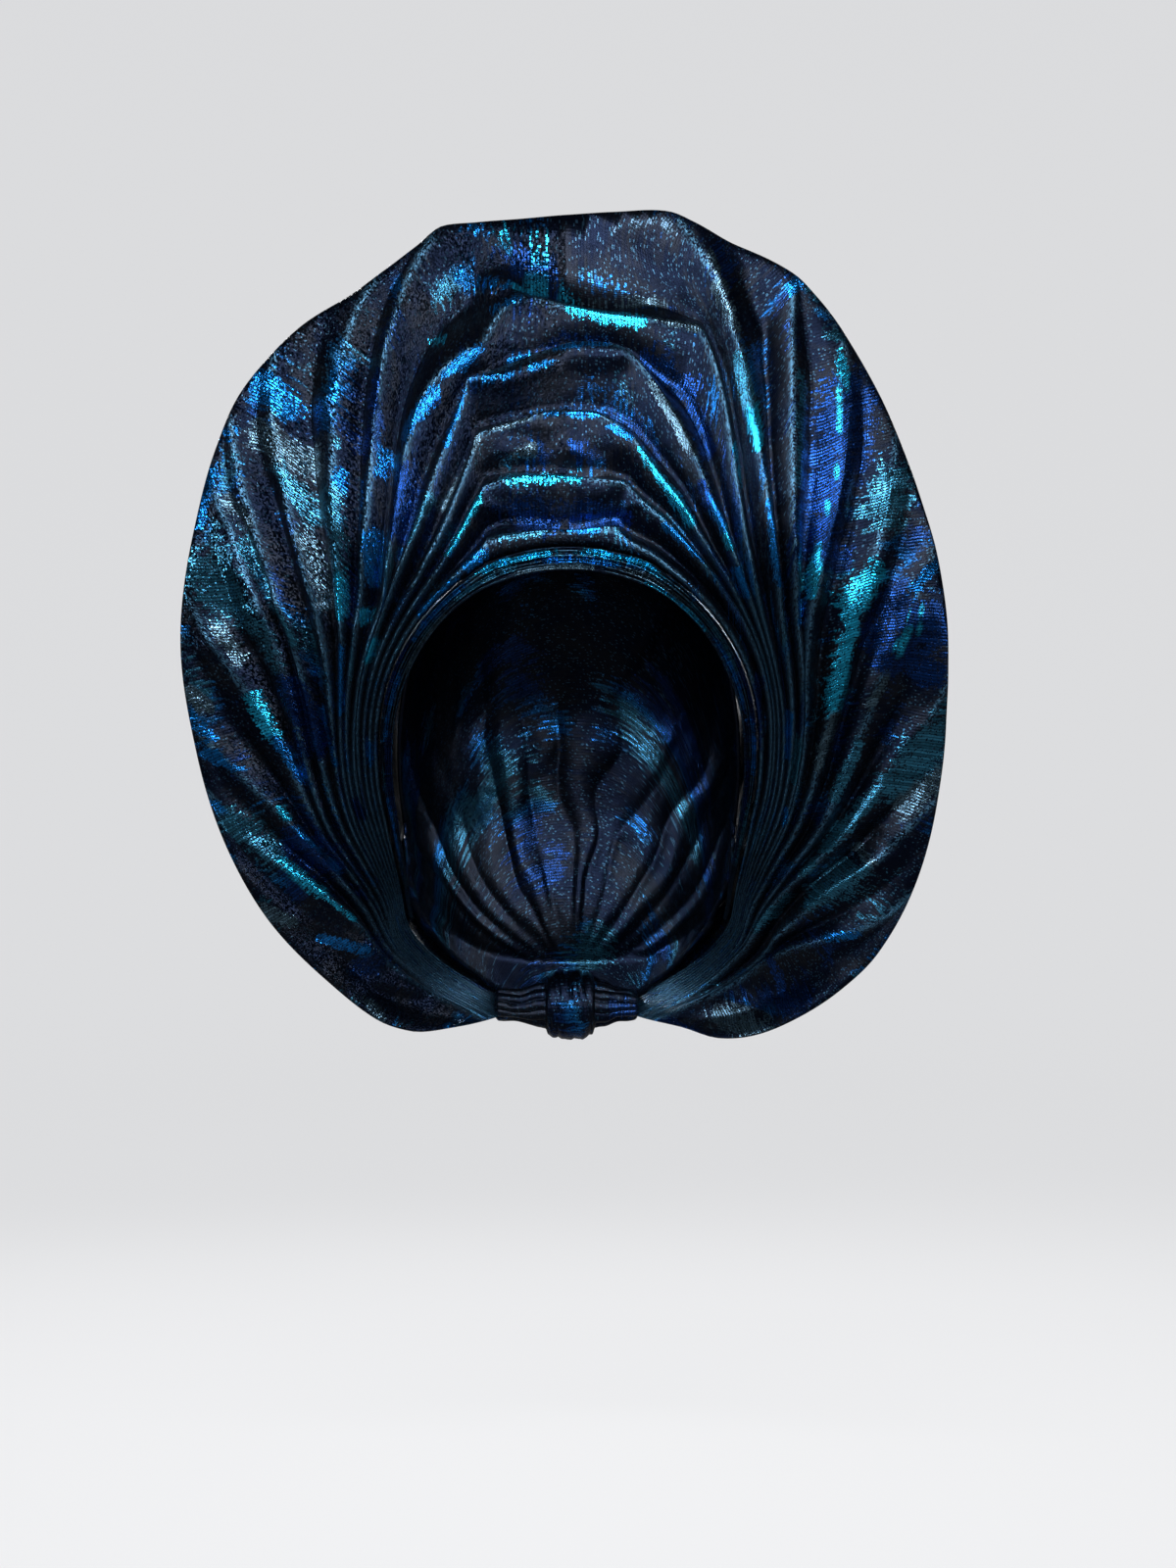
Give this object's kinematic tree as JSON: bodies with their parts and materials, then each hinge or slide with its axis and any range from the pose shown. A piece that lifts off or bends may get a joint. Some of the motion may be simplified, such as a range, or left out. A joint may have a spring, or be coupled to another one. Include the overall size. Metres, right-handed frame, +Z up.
{
  "type": "tied gele head tie",
  "caption": "Stiff metallic head tie, finely pleated round an open face, spread into a tall round fan and tied at the nape over a crown wrap.",
  "frame": {"origin": "where the wearer's crown meets the inner top of the crown wrap", "axes": "+Z up the wearer's head, -Y the way the face looks, +X to the wearer's left"},
  "size_m": [0.2939, 0.1982, 0.3226],
  "materials": {
    "brocade": "dark navy and black metallic brocade with blue sheen"
  },
  "bodies": {
    "root": {"fan": "brocade", "brow_pleats": "brocade", "crown_wrap": "brocade", "nape_knot": "brocade"}
  },
  "joints": []
}
